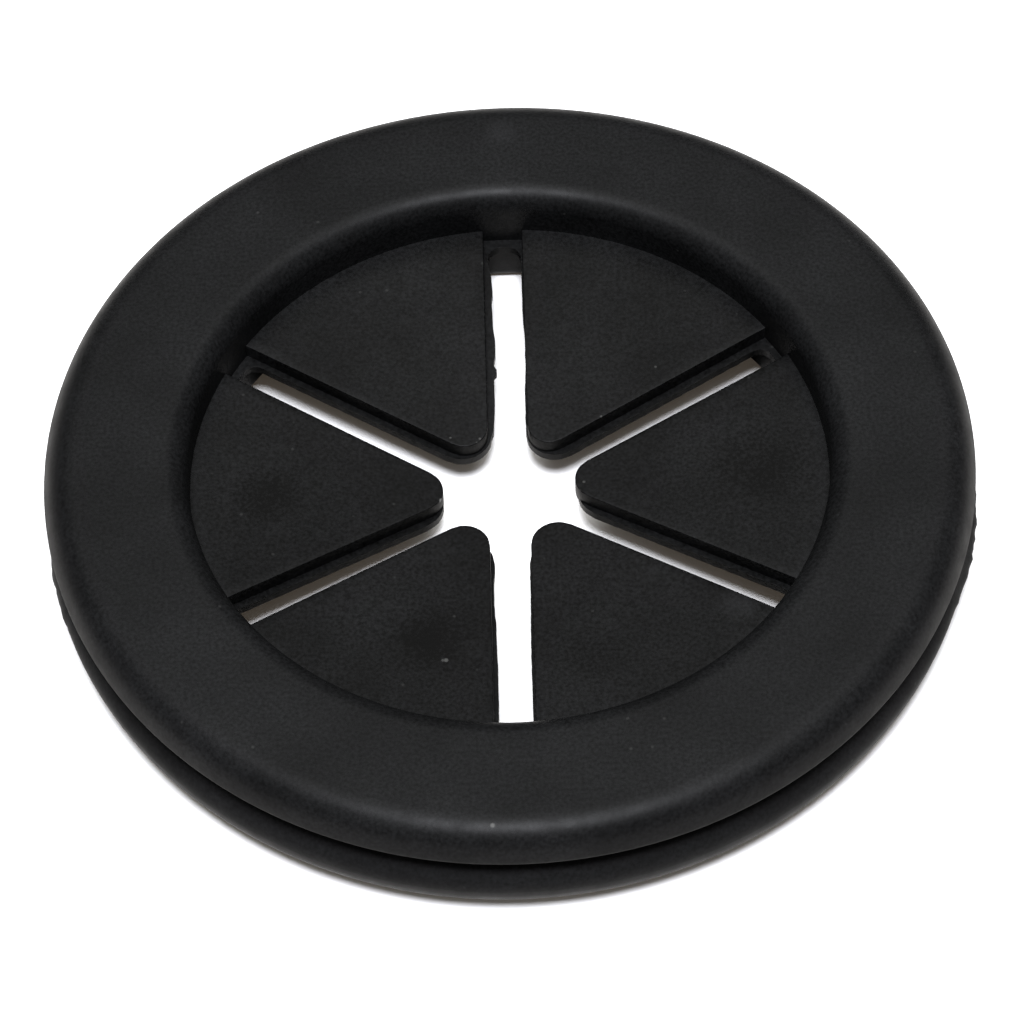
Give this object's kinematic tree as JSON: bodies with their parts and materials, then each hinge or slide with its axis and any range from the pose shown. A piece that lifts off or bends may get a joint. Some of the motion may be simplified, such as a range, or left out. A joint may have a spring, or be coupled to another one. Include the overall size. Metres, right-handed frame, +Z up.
{
  "type": "rubber cable grommet",
  "caption": "Round black rubber panel grommet: a flange on either side of a groove, and a thin web slit into leaves round an open star.",
  "frame": {"origin": "middle of the flat face of the lower flange that the part lies on", "axes": "+Z up along the axis of the ring, from the lower flange to the upper one; one of the slots points along +Y"},
  "size_m": [0.063, 0.063, 0.0089],
  "materials": {
    "rubber": "satin black moulded rubber"
  },
  "bodies": {
    "root": {"grommet": "rubber"}
  },
  "joints": []
}
